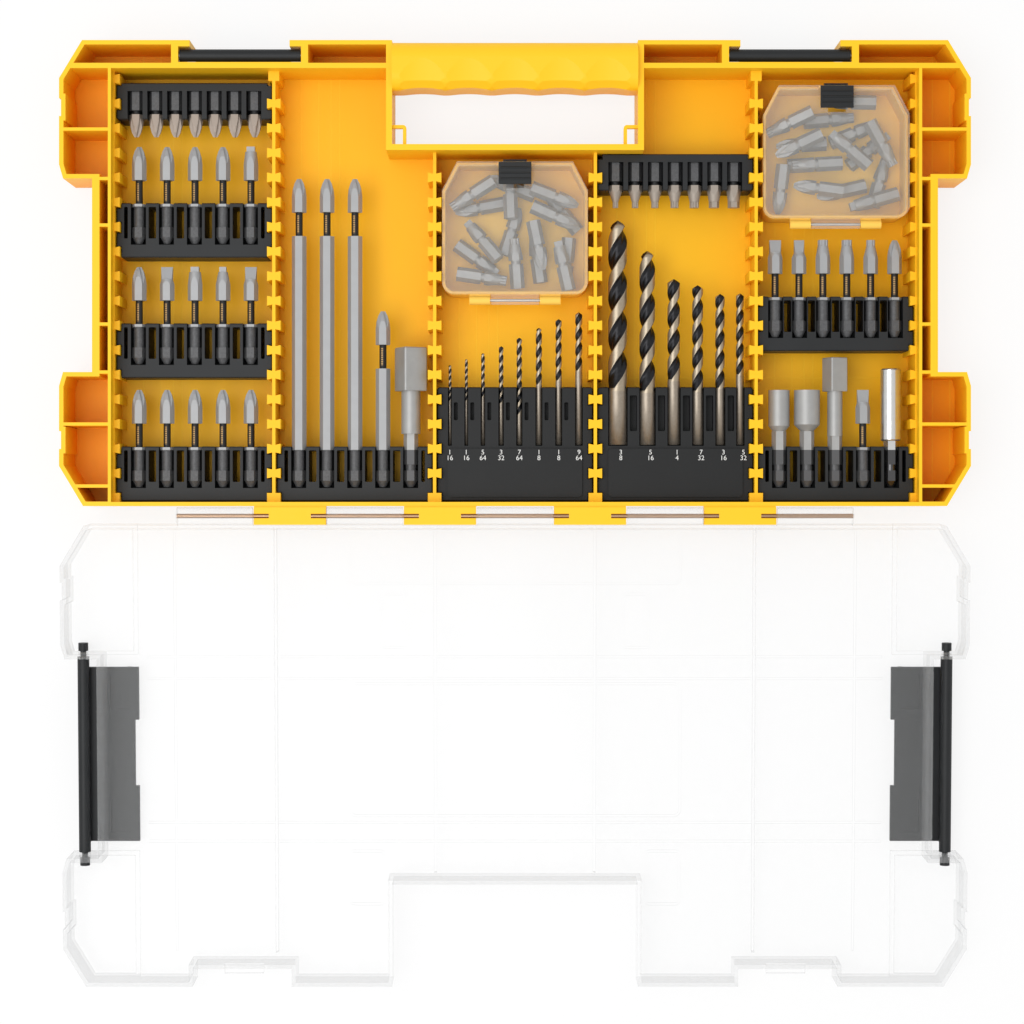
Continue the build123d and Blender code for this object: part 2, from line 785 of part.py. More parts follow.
def flutes(radius, high, length):
    """Four tilted square bars that cut the flutes of a cross tip ending at a height."""
    side = 2 * radius
    tilt = -degrees(atan2(radius, length))
    cuts = []
    for number in range(flute_count):
        place = Rot(0, 0, 360 / flute_count * (number + 0.5)) * Pos(cross_point + side / sqrt(2), 0, high)
        cuts.append(place * Rot(0, tilt, 0) * Rot(0, 0, 45) * Box(side, side, 3 * length))
    return cuts


def slot_tip(radius, length):
    """A flat screwdriver tip."""
    blade = raised(Circle(radius), 0, length)
    side = 2 * radius
    for sign in (-1, 1):
        cut = Pos(0, sign * slot_blade_thickness / 2, length) * Rot(sign * slot_blade_angle, 0, 0)
        blade -= cut * Pos(0, sign * side / 2, 0) * Box(2 * side, side, 2 * length)
    return blade


def star_tip(radius, length):
    """A six-lobed tip."""
    plan = Circle(radius)
    valley = radius / 3
    for i in range(star_lobes):
        angle = radians(360 / star_lobes * i)
        middle = radius + valley / 3
        plan -= Pos(middle * cos(angle), middle * sin(angle)) * Circle(valley)
    return raised(plan, 0, length)


def square_tip(radius, length):
    """A square tip whose corners lie on the given radius."""
    return raised(Rectangle(sqrt(2) * radius, sqrt(2) * radius), 0, length)


def hex_tip(radius, length):
    """A hexagonal key tip whose corners lie on the given radius."""
    return raised(hexagon(2 * radius * cos(radians(30))), 0, length)


def bit_head(kind, radius, low, high):
    """A hexagon head, tapered like a pencil into its working end."""
    makers = {"slot": (slot_tip, slot_tip_length), "star": (star_tip, star_tip_length),
              "square": (square_tip, square_tip_length), "hex": (hex_tip, hex_tip_length)}
    corner = hex_corners / 2
    taper_low = max(high - bit_taper_length, low)
    if kind == "cross":
        bulge = [(corner * share, taper_low + (high - taper_low) * along)
                 for along, share in cross_bulge]
        cone = profile([(corner, low), (corner, taper_low)] + bulge + [(cross_end, high)])
        head = raised(hexagon(hex_flats), low, high) & cone
        for cut in flutes(radius, high, bit_taper_length):
            head -= cut
        return head
    maker, length = makers[kind]
    end = high - length
    cone = profile([(corner, low), (corner, taper_low), (radius, end)])
    head = raised(hexagon(hex_flats), low, end) & cone
    return head + Pos(0, 0, end) * maker(radius, length)


def insert_bit(kind, radius):
    """A short bit along +Z from its tail, with a ring groove behind its head."""
    head_low = insert_shank_length + insert_ring_length
    bit = raised(hexagon(hex_flats), 0, insert_shank_length)
    bit += raised(Circle(bit_ring_diameter / 2), insert_shank_length, head_low)
    return bit + bit_head(kind, radius, head_low, insert_length)


def shank(low, high, groove_length):
    """A hexagon shank with the groove and pointed tail that a quick chuck grips."""
    body = raised(hexagon(hex_flats), low + hex_flats / 2, high)
    body += profile([(hex_flats / 4, low), (hex_flats / 2, low + hex_flats / 2)])
    groove = low + bit_tail_length
    cut = raised(Circle(hex_flats), groove, groove + groove_length)
    return body - (cut - raised(Circle(bit_groove_diameter / 2), groove, groove + groove_length))


def power_bit(kind, radius, length):
    """A long-shank bit along +Z from its tail."""
    head_low = length - bit_head_length
    neck_low = head_low - bit_neck_length
    bit = shank(0, neck_low, bit_groove_length)
    bit += raised(Circle(bit_neck_diameter / 2), neck_low, head_low)
    return bit + bit_head(kind, radius, head_low, length)


def laid(shape, x, tail, height=bit_axis_height, direction=1):
    """Lay a piece that was made along +Z flat, with its tail at a distance from the hinge."""
    return Pos(x, hinge_y + tail, height) * Rot(-90 * direction, 0, 0) * shape


def spaced(middle, count, pitch):
    """Evenly spaced places about a middle."""
    return [middle + (i - (count - 1) / 2) * pitch for i in range(count)]


def column_bar(column, near, depth, top):
    """A plain bar that fills a column between the teeth of its walls."""
    middle = column_x[column]
    half = bar_width / 2
    y_range = (hinge_y + near, hinge_y + near + depth)
    bar = block((middle - half, middle + half), y_range, (bar_bottom, top))
    bar = fillet(bar.edges().filter_by(Axis.Z), bar_end_gap + 1)
    bar = chamfer(bar.faces().sort_by(Axis.Z)[-1].edges(), bar_edge)
    grow = bar_end_gap
    notch_half = tooth_tip_length / 2 + grow
    reach = tooth_reach + grow
    for side in (middle - column_pitch / 2, middle + column_pitch / 2):
        for y in comb_y:
            if y_range[0] - tooth_pitch < y < y_range[1] + tooth_pitch:
                bar -= block((side - reach, side + reach), (y - notch_half, y + notch_half),
                             (0, tray_height))
        if near < divider_foot_far:
            bar -= block((side - reach, side + reach),
                         (y_range[0] - 1, hinge_y + divider_foot_far + grow), (0, tray_height))
    return bar


def slot(x, y_low, y_high, width, height=bit_axis_height):
    """An open-topped slot for one shank, round at the bottom."""
    radius = width / 2
    cut = block((x - radius, x + radius), (y_low, y_high), (height, tray_height))
    return cut + rod(x, (y_low + y_high) / 2, height, y_high - y_low, radius)


def window(x, far, width):
    """One window through a bar, beside a slot."""
    middle = far - window_margin - window_length / 2
    plan = Pos(x, middle) * RectangleRounded(width, window_length, window_corner)
    return raised(plan, 0, tray_height)


def hex_slot_width():
    """Width of a slot that takes a hexagon shank."""
    return hex_corners + 2 * slot_clearance


def power_bar(column, near, places, tail):
    """A bar for long-shank bits, open towards the handle."""
    bar = column_bar(column, near, power_bar_depth, bar_top)
    far = hinge_y + near + power_bar_depth
    for x in places:
        bar -= slot(x, hinge_y + tail - body_clearance, far + 1, hex_slot_width())
    for left, right in zip(places, places[1:]):
        bar -= window((left + right) / 2, far, window_width)
    for x in (places[0] - end_window_offset, places[-1] + end_window_offset):
        if len(places) == five_slots:
            bar -= window(x, far, end_window_width)
    return bar


def insert_bar(column, near, places):
    """A bar for short bits, open towards the hinge, with a bridge over their tails."""
    bar = column_bar(column, near, insert_bar_depth, bar_top)
    tail = hinge_y + near + insert_bar_depth - insert_bar_lip + slot_clearance
    for x in places:
        bar -= slot(x, hinge_y + near - 1, tail - insert_bridge, hex_slot_width(),
                    insert_axis_height)
        bar -= rod(x, tail - insert_bridge, insert_axis_height, 2 * insert_bridge,
                   hex_slot_width() / 2)
    return bar


def insert_bits(near, places, kinds):
    """Short bits in their bar, tips towards the hinge."""
    tail = near + insert_bar_depth - insert_bar_lip
    return [laid(insert_bit(kind, radius), x, tail, insert_axis_height, -1)
            for x, (kind, radius) in zip(places, kinds)]


def power_bits(tail, places, kinds, length=power_length):
    """Long-shank bits in their bar, tips towards the handle."""
    return [laid(power_bit(kind, radius, length), x, tail)
            for x, (kind, radius) in zip(places, kinds)]


def drill(diameter, length):
    """A drill along +Z from its shank end, with a pointed tip."""
    radius = diameter / 2
    point = radius / (sin(radians(drill_point_angle / 2)) / cos(radians(drill_point_angle / 2)))
    return profile([(radius, 0), (radius, length - point), (point_radius, length)])


def recesses(column, inches, offsets, far, length, widest):
    """Blind finger recesses in a rack, one between each drill's slot and the next."""
    y = hinge_y + lower_bar_near + rack_depth - far - length / 2
    halves = [size * inch / 2 + slot_clearance + recess_wall for size in inches]
    cuts = []
    for i in range(len(offsets) - 1):
        left = offsets[i] + halves[i]
        width = min(widest, offsets[i + 1] - halves[i + 1] - left)
        plan = RectangleRounded(width, length, window_corner)
        cuts.append(raised(Pos(column_x[column] + left + width / 2, y) * plan,
                           bar_top - recess_depth, tray_height))
    return cuts


def drill_rack(column, inches, offsets, recess_far, recess_length, recess_width):
    """A rack whose slots take a row of drills, with a raised label plate at its foot."""
    rack = column_bar(column, lower_bar_near, rack_depth, bar_top)
    end = hinge_y + lower_bar_near + rack_shank_end
    for size, x in zip(inches, offsets):
        width = size * inch + 2 * slot_clearance
        far = hinge_y + lower_bar_near + rack_depth + 1
        rack -= slot(column_x[column] + x, end - body_clearance, far, width)
    for cut in recesses(column, inches, offsets, recess_far, recess_length, recess_width):
        rack -= cut
    half = bar_width / 2 - tooth_reach - label_margin
    plate = sheet((column_x[column] - half, column_x[column] + half),
                  (hinge_y + lower_bar_near + label_margin, end - label_margin))
    return rack + raised(fillet(plate.vertices(), label_margin), bar_top, bar_top + label_rise)


def drills(column, inches, lengths, offsets):
    """The drills of one rack."""
    tail = lower_bar_near + rack_shank_end
    return [laid(drill(size * inch, length), column_x[column] + x, tail)
            for size, length, x in zip(inches, lengths, offsets)]


def adapter(square, head_length, neck_diameter, neck_length, shank_length, turn):
    """A socket adapter along +Z: hexagon shank, round neck and square head."""
    neck_high = shank_length + neck_length
    piece = shank(0, shank_length, driver_groove_length)
    piece += raised(Circle(neck_diameter / 2), shank_length, neck_high)
    head = raised(Rectangle(square, square), neck_high, neck_high + head_length)
    head = fillet(head.edges().filter_by(Axis.Z), square * head_corner_share)
    head = chamfer(head.faces().sort_by(Axis.Z)[-1].edges(), square * head_corner_share / 2)
    ball_hole = Pos(0, square / 2, neck_high + head_length * ball_place) * Sphere(square * ball_share / 2)
    return piece + Rot(0, 0, turn) * (head - ball_hole)


def adapter_ball(square, head_length, neck_length, shank_length, turn):
    """The spring ball in a square head's face."""
    z = shank_length + neck_length + head_length * ball_place
    return Rot(0, 0, turn) * Pos(0, square / 2, z) * Sphere(square * ball_share / 2 - fixed_clearance)


def nut_driver(diameter, flats):
    """A nut driver along +Z: hexagon shank and a socket open at its end."""
    top = driver_shank + driver_length
    radius = diameter / 2
    body = shank(0, driver_shank, driver_groove_length)
    body += profile([(hex_flats / 2, driver_shank), (radius, driver_shank + radius / 2),
                     (radius, top)])
    return body - raised(hexagon(flats + slot_clearance), top - driver_bore, top + 1)


def driver_magnet(flats):
    """The magnet at the bottom of a nut driver's socket."""
    low = driver_shank + driver_length - driver_bore
    return raised(Circle(flats / 2 - slot_clearance), low, low + magnet_length)


def bit_holder():
    """The magnetic bit holder along +Z: hexagon shank in a round chrome sleeve."""
    top = holder_shank + holder_length
    radius = holder_diameter / 2
    edge = radius * sleeve_edge_share
    body = shank(0, holder_shank, driver_groove_length)
    body += profile([(radius - edge, holder_shank), (radius, holder_shank + edge),
                     (radius, top - edge), (radius - edge, top)])
    return body - raised(hexagon(hex_flats + slot_clearance), top - holder_bore, top + 1)


def holder_magnet():
    """The magnet at the bottom of the bit holder's socket."""
    low = holder_shank + holder_length - holder_bore
    return raised(Circle(hex_flats / 2 - slot_clearance), low, low + magnet_length)


box_rim = bar_bottom + box_base_height
box_lid_low = box_rim + box_gap
box_lid_top = box_lid_low + box_lid_height
box_axis_z = box_rim + box_gap / 2


def box_plan(column, near):
    """Outer plan of a small bit box, its far corners cut and its near ones round."""
    half = box_width / 2
    middle, low = column_x[column], hinge_y + near
    high = low + box_depth
    plan = Polygon((middle - half, low), (middle + half, low),
                   (middle + half, high - box_corner_y), (middle + half - box_corner_x, high),
                   (middle - half + box_corner_x, high), (middle - half, high - box_corner_y),
                   align=None)
    return fillet(plan.vertices().group_by(Axis.Y)[0], box_round)


def inside(plan, wall):
    """The plan drawn in by a wall."""
    return offset(plan, amount=-wall, kind=Kind.INTERSECTION)


def keeper(column, near, width, low, high):
    """Block at the middle of a box's far wall, as thick as the wall."""
    far = hinge_y + near + box_depth
    x = column_x[column]
    return block((x - width / 2, x + width / 2), (far - box_wall, far), (low, high))


def make_box_base(column, near):
    """The yellow tray of a small bit box, with its hinge lugs and keeper."""
    plan = box_plan(column, near)
    base = raised(plan, bar_bottom, box_rim)
    base -= raised(inside(plan, box_wall), bar_bottom + box_floor, box_rim + 1)
    base += keeper(column, near, keeper_width, box_rim, box_rim + keeper_height)
    slot_low = box_rim + tongue_rise - body_clearance / 2
    slot_high = slot_low + tongue_thickness + body_clearance
    base -= keeper(column, near, tongue_width + body_clearance, slot_low, slot_high)
    axis_y = hinge_y + near - box_hinge_setback
    shift = (box_knuckle_width + box_lug_width) / 2 + box_lug_gap
    for x in (column_x[column] - shift, column_x[column] + shift):
        base += rod(x, axis_y, box_axis_z, box_lug_width, box_knuckle_radius, "X")
        half = box_lug_width / 2
        base += block((x - half, x + half), (axis_y, axis_y + box_hinge_setback + box_wall / 2),
                      (box_axis_z - box_knuckle_radius, box_rim))
    bore = box_pin_diameter / 2 + fixed_clearance
    return base - rod(column_x[column], axis_y, box_axis_z, box_pin_length(), bore, "X")


def box_pin_length():
    """A box's hinge pin runs through the knuckle and both lugs."""
    return box_knuckle_width + 2 * (box_lug_gap + box_lug_width)


def make_box_lid(column, near):
    """The clear lid of a small bit box."""
    plan = box_plan(column, near)
    lid = raised(plan, box_lid_low, box_lid_top)
    ceiling = box_lid_top - box_plate
    lid -= raised(inside(plan, box_wall), box_lid_low - 1, ceiling)
    width = keeper_width + 2 * body_clearance
    lid -= keeper(column, near, width, box_lid_low - 1, box_rim + keeper_height + body_clearance / 2)
    x, far = column_x[column], hinge_y + near + box_depth
    stem_far = far - slider_setback - slider_length / 2 + stem_length / 2
    half = stem_width / 2 + body_clearance
    lid -= block((x - half, x + half),
                 (stem_far - stem_length - slider_travel - body_clearance,
                  stem_far + body_clearance), (ceiling - 1, box_lid_top + 1))
    bead_far = hinge_y + near + box_depth - box_corner_y
    for bead_x in (x - box_bead_x, x + box_bead_x):
        lid += block((bead_x - bead_width / 2, bead_x + bead_width / 2),
                     (hinge_y + near + box_wall, bead_far), (ceiling, box_lid_top + bead_height / 2))
    axis_y = hinge_y + near - box_hinge_setback
    lid += rod(x, axis_y, box_axis_z, box_knuckle_width, box_knuckle_radius, "X")
    half = box_knuckle_width / 2
    lid += block((x - half, x + half), (axis_y, axis_y + box_hinge_setback + box_wall / 2),
                 (box_lid_low, box_axis_z + box_knuckle_radius))
    bore = box_pin_diameter / 2 + pin_clearance
    return lid - rod(x, axis_y, box_axis_z, box_pin_length(), bore, "X")


def make_slider(column, near):
    """The black lock of a small bit box: ribbed top, stem and tongue."""
    x, far = column_x[column], hinge_y + near + box_depth
    top_far = far - slider_setback
    low = box_lid_top + body_clearance / 2
    half = slider_width / 2
    slider = block((x - half, x + half), (top_far - slider_length, top_far),
                   (low, low + slider_height))
    for y in spaced(top_far - slider_length / 2, slider_ridges, slider_length / (slider_ridges + 1)):
        slider += rod(x, y, low + slider_height, slider_width - 2 * slider_ridge,
                      slider_ridge / 2, "X")
    half = stem_width / 2
    middle = top_far - slider_length / 2
    tongue_low = box_rim + tongue_rise
    slider += block((x - half, x + half), (middle - stem_length / 2, middle + stem_length / 2),
                    (tongue_low, low))
    half = tongue_width / 2
    return slider + block((x - half, x + half), (middle - stem_length, far + tongue_reach),
                          (tongue_low, tongue_low + tongue_thickness))


def make_box_pin(column, near):
    """The hinge pin of a small bit box."""
    axis_y = hinge_y + near - box_hinge_setback
    return rod(column_x[column], axis_y, box_axis_z, box_pin_length(), box_pin_diameter / 2, "X")


def square_to(first, second):
    """The direction square to two others."""
    return (first[1] * second[2] - first[2] * second[1],
            first[2] * second[0] - first[0] * second[2],
            first[0] * second[1] - first[1] * second[0])


def along(first, second):
    """How far one direction runs along another."""
    return sum(a * b for a, b in zip(first, second))


def loose_axes(turn, tilt):
    """The length, breadth and thickness directions of a loose bit."""
    turn, tilt = radians(turn), radians(tilt)
    length = (cos(turn) * cos(tilt), sin(turn) * cos(tilt), sin(tilt))
    breadth = (-sin(turn), cos(turn), 0.0)
    return (length, breadth, square_to(length, breadth))


def apart(first, second):
    """Whether two loose bits, each (middle, axes), keep clear of each other as bars."""
    halves = (insert_length / 2, hex_corners / 2, hex_flats / 2)
    step = tuple(b - a for a, b in zip(first[0], second[0]))
    if hypot(*step) > insert_length + 2 * hex_corners:
        return True
    axes = list(first[1]) + list(second[1])
    axes += [square_to(a, b) for a in first[1] for b in second[1]]
    for axis in axes:
        room = loose_gap * hypot(*axis)
        for bar in (first, second):
            room += sum(half * abs(along(own, axis)) for half, own in zip(halves, bar[1]))
        if abs(along(step, axis)) > room:
            return True
    return False


def within_box(bar):
    """Whether a loose bit lies inside a box's walls, measured from the box's middle."""
    middle, axes = bar
    x_room, y_room = box_width / 2 - box_wall - loose_gap, box_depth / 2 - box_wall - loose_gap
    for a in (-insert_length / 2, insert_length / 2):
        for b in (-hex_corners / 2, hex_corners / 2):
            x = abs(middle[0] + a * axes[0][0] + b * axes[1][0])
            y = middle[1] + a * axes[0][1] + b * axes[1][1]
            corner = max(0.0, x - x_room + box_corner_x) / box_corner_x
            if x > x_room or abs(y) > y_room or y > y_room - box_corner_y * corner:
                return False
            if y < box_round - y_room and x > x_room - box_round / 3:
                return False
    return True


def settled(turn, tilt, x, y, pile):
    """The lowest clear place for a loose bit dropped at a point, or nothing if it's full."""
    axes = loose_axes(turn, tilt)
    rise = insert_length / 2 * abs(axes[0][2]) + hex_flats / 2 * axes[2][2]
    height = bar_bottom + box_floor + loose_gap + rise
    if not within_box(((x, y, height), axes)):
        return None
    while height + rise < loose_top:
        bar = ((x, y, height), axes)
        if all(apart(bar, other) for other in pile):
            return bar
        height += loose_step
    return None


def loose_pile(seed):
    """Loose bits dropped one by one, each into the lowest of several chance places."""
    chance = random.Random(seed)
    pile = []
    for number in range(loose_count):
        found = []
        for attempt in range(loose_tries):
            x = chance.uniform(-1, 1) * (box_width - hex_corners) / 2
            y = chance.uniform(-1, 1) * (box_depth - hex_corners) / 2
            place = settled(chance.uniform(0, 360), chance.uniform(-1, 1) * loose_tilt, x, y, pile)
            if place:
                found.append(place)
        if found:
            pile.append(min(found, key=lambda bar: bar[0][2]))
    return pile


def make_loose_bits(column, near, seed):
    """Loose short bits heaped inside a small box."""
    kinds = [insert_bit("cross", flute_radius), insert_bit("square", square_radius),
             insert_bit("star", star_radius)]
    bits = []
    x_middle, y_middle = column_x[column], hinge_y + near + box_depth / 2
    for number, ((x, y, z), axes) in enumerate(loose_pile(seed)):
        bit = Pos(0, 0, -insert_length / 2) * kinds[number % len(kinds)]
        place = Plane(origin=(x_middle + x, y_middle + y, z), x_dir=axes[1], z_dir=axes[0])
        bits.append(place.location * bit)
    return bits


os.makedirs("parts", exist_ok=True)

save("tray", make_tray())
save("tray_dividers", *make_dividers())
save("hinge_pins", *make_hinge_pins())
save("lid", opened(make_lid()))
save("front_latch_left", make_front_latch(-latch_center_x))
save("front_latch_right", make_front_latch(latch_center_x))
save("front_latch_pins", *make_latch_pins())
right_latch, left_latch = both_sides(make_side_latch())
save("side_latch_right", opened(right_latch))
save("side_latch_left", opened(left_latch))

insert_left_x = spaced(column_x[0], seven_slots, insert_pitch)
insert_right_x = spaced(column_x[3], seven_slots, insert_pitch)
insert_left_kinds = [("cross", radius) for radius in insert_cross_radii]
insert_right_kinds = [("star", radius) for radius in insert_star_radii]
insert_right_kinds += [("hex", radius) for radius in insert_hex_radii]
save("insert_bar_left", insert_bar(0, insert_left_near, insert_left_x))
save("insert_bits_left", *insert_bits(insert_left_near, insert_left_x, insert_left_kinds))
save("insert_bar_right", insert_bar(3, insert_right_near, insert_right_x))
save("insert_bits_right", *insert_bits(insert_right_near, insert_right_x, insert_right_kinds))

five_x = spaced(column_x[0], five_slots, power_pitch)
six_x = spaced(column_x[4], five_slots + 1, six_pitch)
cross, slotted = ("cross", flute_radius), ("slot", blade_radius)
square, small_square = ("square", square_radius), ("square", small_square_radius)
star, small_star = ("star", star_radius), ("star", small_star_radius)
rows = [
    ("upper", 0, power_top_near, five_x, [cross, cross, cross, cross, square]),
    ("middle", 0, power_middle_near, five_x, [cross, slotted, square, small_square, slotted]),
    ("lower", 0, lower_bar_near, five_x, [cross, cross, cross, cross, cross]),
    ("right", 4, power_right_near, six_x,
     [slotted, ("slot", small_blade_radius), star, star, small_star, cross]),
]
for row, column, near, places, kinds in rows:
    tail = near + power_bar_back
    save(f"power_bar_{row}", power_bar(column, near, places, tail))
    save(f"power_bits_{row}", *power_bits(tail, places, kinds))

lower_tail = lower_bar_near + power_bar_back
long_x = spaced(column_x[1], five_slots, power_pitch)
save("long_bar", power_bar(1, lower_bar_near, long_x, lower_tail))
long_kinds = [cross, cross, cross]
save("long_bits", *power_bits(lower_tail, long_x[:3], long_kinds, long_length))
save("reach_bit", *power_bits(lower_tail, long_x[3:4], [cross], reach_length))
half_inch = adapter(half_square, half_head_length, half_neck_diameter, half_neck_length,
                    half_shank, half_turn)
half_ball = adapter_ball(half_square, half_head_length, half_neck_length, half_shank, half_turn)
save("half_inch_adapter", laid(half_inch, long_x[4], lower_tail))
save("half_inch_ball", laid(half_ball, long_x[4], lower_tail))

save("small_drill_rack", drill_rack(2, small_drill_inches, small_drill_x,
                                     small_recess_far, small_recess_length, small_recess_width))
save("small_drills", *drills(2, small_drill_inches, small_drill_lengths, small_drill_x))
save("large_drill_rack", drill_rack(3, large_drill_inches, large_drill_x,
                                     large_recess_far, large_recess_length, large_recess_width))
save("large_drills", *drills(3, large_drill_inches, large_drill_lengths, large_drill_x))

adapter_x = spaced(column_x[4], five_slots, power_pitch)
save("adapter_bar", power_bar(4, lower_bar_near, adapter_x, lower_tail))
save("nut_driver_small",
     laid(nut_driver(driver_small_diameter, driver_small_flats), adapter_x[0], lower_tail))
save("nut_driver_large",
     laid(nut_driver(driver_large_diameter, driver_large_flats), adapter_x[1], lower_tail))
save("nut_driver_magnets", laid(driver_magnet(driver_small_flats), adapter_x[0], lower_tail),
     laid(driver_magnet(driver_large_flats), adapter_x[1], lower_tail))
three_eighths = adapter(three_eighths_square, three_head_length, three_neck_diameter,
                        three_neck_length, three_shank, three_turn)
three_ball = adapter_ball(three_eighths_square, three_head_length, three_neck_length,
                          three_shank, three_turn)
save("three_eighths_adapter", laid(three_eighths, adapter_x[2], lower_tail))
save("three_eighths_ball", laid(three_ball, adapter_x[2], lower_tail))
save("slotted_bit", *power_bits(lower_tail, adapter_x[3:4], [slotted]))
save("bit_holder", laid(bit_holder(), adapter_x[4], lower_tail))
save("bit_holder_magnet", laid(holder_magnet(), adapter_x[4], lower_tail))

boxes = [("left", 2, box_left_near, 7), ("right", 4, box_right_near, 11)]
for side, column, near, seed in boxes:
    save(f"bit_box_{side}_base", make_box_base(column, near))
    save(f"bit_box_{side}_lid", make_box_lid(column, near))
    save(f"bit_box_{side}_slider", make_slider(column, near))
    save(f"bit_box_{side}_pin", make_box_pin(column, near))
    save(f"bit_box_{side}_bits", *make_loose_bits(column, near, seed))
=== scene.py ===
import json
import math

import bmesh
import bpy
from mathutils import Matrix, Vector


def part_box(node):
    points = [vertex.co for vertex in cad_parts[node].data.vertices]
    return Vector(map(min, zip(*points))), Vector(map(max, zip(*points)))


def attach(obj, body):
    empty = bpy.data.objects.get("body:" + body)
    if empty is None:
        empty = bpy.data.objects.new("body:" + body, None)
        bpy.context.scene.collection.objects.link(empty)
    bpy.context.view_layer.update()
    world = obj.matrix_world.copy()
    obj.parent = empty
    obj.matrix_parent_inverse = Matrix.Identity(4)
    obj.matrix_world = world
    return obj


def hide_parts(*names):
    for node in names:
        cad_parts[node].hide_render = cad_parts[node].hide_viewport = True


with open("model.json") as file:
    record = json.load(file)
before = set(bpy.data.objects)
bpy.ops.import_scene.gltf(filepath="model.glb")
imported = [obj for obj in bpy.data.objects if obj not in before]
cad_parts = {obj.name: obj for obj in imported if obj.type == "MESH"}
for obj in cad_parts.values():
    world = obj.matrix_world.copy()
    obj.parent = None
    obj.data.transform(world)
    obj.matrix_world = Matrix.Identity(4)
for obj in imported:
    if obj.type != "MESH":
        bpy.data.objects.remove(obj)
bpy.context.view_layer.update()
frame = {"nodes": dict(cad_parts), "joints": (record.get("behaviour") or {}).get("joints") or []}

# The tray is moulded in one piece from yellow polypropylene: floor, walls, pockets, handle and
# hinge shelf, and the toothed dividers too. Its skin is satin, with fine flow marks and thin
# mould lines on the columns' floor. Painted shade makes it a deeper orange lower down, and deeper
# still in the pockets.
hinge_joint = next(joint for joint in frame["joints"] if joint["name"] == "lid_hinge")
hinge_y, hinge_z = hinge_joint["pos_m"][1], hinge_joint["pos_m"][2]
hinge_above_rim = 0.000175
rim_z = hinge_z - hinge_above_rim
column_pitch = 0.081
floor_top = 0.0028
shade_low = 0.004
side_pocket_x = 0.2035
top_pocket_y = hinge_y + 0.2265
cross_line_y = hinge_y + 0.0708
mould_line_offsets = (-0.0286, -0.0197, -0.0134, -0.0089)
mould_line_half = 0.00035
mould_line_rise = 4.0
mould_line_paleness = 0.5
cloud_shade = 0.94
flow_mark_scale = (1.0, 0.05, 1.0)


class Flow:
    """A value that runs over a surface, so that a pattern can be written as plain maths."""

    def __init__(self, tree, socket=None):
        self.tree = tree
        self.socket = socket

    def node(self, kind, settings, inputs, output=0):
        """A new node: its settings first, then what feeds each of its inputs."""
        new = self.tree.nodes.new(kind)
        for name, value in settings.items():
            setattr(new, name, value)
        for name, value in inputs.items():
            if isinstance(value, Flow):
                self.tree.links.new(value.socket, new.inputs[name])
            else:
                new.inputs[name].default_value = value
        return Flow(self.tree, new.outputs[output])

    def maths(self, operation, first, second=0.0):
        return self.node("ShaderNodeMath", {"operation": operation}, {0: first, 1: second})

    def __add__(self, other):
        return self.maths("ADD", self, other)

    __radd__ = __add__

    def __mul__(self, other):
        return self.maths("MULTIPLY", self, other)

    __rmul__ = __mul__

    def __sub__(self, other):
        return self.maths("SUBTRACT", self, other)

    def __rsub__(self, other):
        return self.maths("SUBTRACT", other, self)

    def __truediv__(self, other):
        return self.maths("DIVIDE", self, other)

    def __rtruediv__(self, other):
        return self.maths("DIVIDE", other, self)

    def __gt__(self, other):
        return self.maths("GREATER_THAN", self, other)

    def __lt__(self, other):
        return self.maths("LESS_THAN", self, other)


def new_finish(name, **constants):
    """A material with one shader, whose steady values are set straight on its sockets."""
    material = bpy.data.materials.new(name)
    material.use_nodes = True
    shader = material.node_tree.nodes["Principled BSDF"]
    for socket, value in constants.items():
        shader.inputs[socket.replace("_", " ")].default_value = value
    return material, Flow(material.node_tree), shader


def place(flow):
    """The place on a piece, in metres."""
    return flow.node("ShaderNodeTexCoord", {}, {}, "Object")


def axis_of(flow, where, axis):
    """One coordinate of a place."""
    return flow.node("ShaderNodeSeparateXYZ", {}, {0: where}, axis)


def noise(flow, where, size, detail=3.0, roughness=0.5):
    """Cloudy noise whose patches are about as large as size, in metres."""
    settings = {"noise_dimensions": "3D"}
    inputs = {"Vector": where, "Scale": 1.0 / size, "Detail": detail, "Roughness": roughness}
    return flow.node("ShaderNodeTexNoise", settings, inputs, "Fac")


def between(flow, factor, first, second):
    """A colour between two others."""
    settings = {"data_type": "RGBA"}
    colours = [c if isinstance(c, Flow) else (*c, 1.0) for c in (first, second)]
    return flow.node("ShaderNodeMix", settings, {0: factor, 6: colours[0], 7: colours[1]}, 2)


def feed(shader, **flows):
    """Join patterns to a shader's inputs."""
    for socket, value in flows.items():
        value.tree.links.new(value.socket, shader.inputs[socket.replace("_", " ")])


def grain(flow, height, depth, strength):
    """A fine relief from a height pattern, its depth in metres."""
    inputs = {"Strength": strength, "Distance": depth, "Height": height}
    return flow.node("ShaderNodeBump", {}, inputs, "Normal")


def row_offset(flow, where, first_x, pitch):
    """How far a place lies to the right of the nearest middle in a row along X."""
    across = axis_of(flow, where, "X") - first_x
    return across - flow.maths("ROUND", across / pitch) * pitch


def mould_lines(flow, where):
    """Thin raised lines on the columns' floor, the same in every column."""
    offset = row_offset(flow, where, 0.0, column_pitch)
    distance = axis_of(flow, where, "Y") - cross_line_y
    lines = flow.maths("ABSOLUTE", distance) < mould_line_half
    for line in mould_line_offsets:
        near = flow.maths("ABSOLUTE", offset - line) < mould_line_half
        lines = flow.maths("MAXIMUM", lines, near)
    return lines * (axis_of(flow, where, "Z") < floor_top)


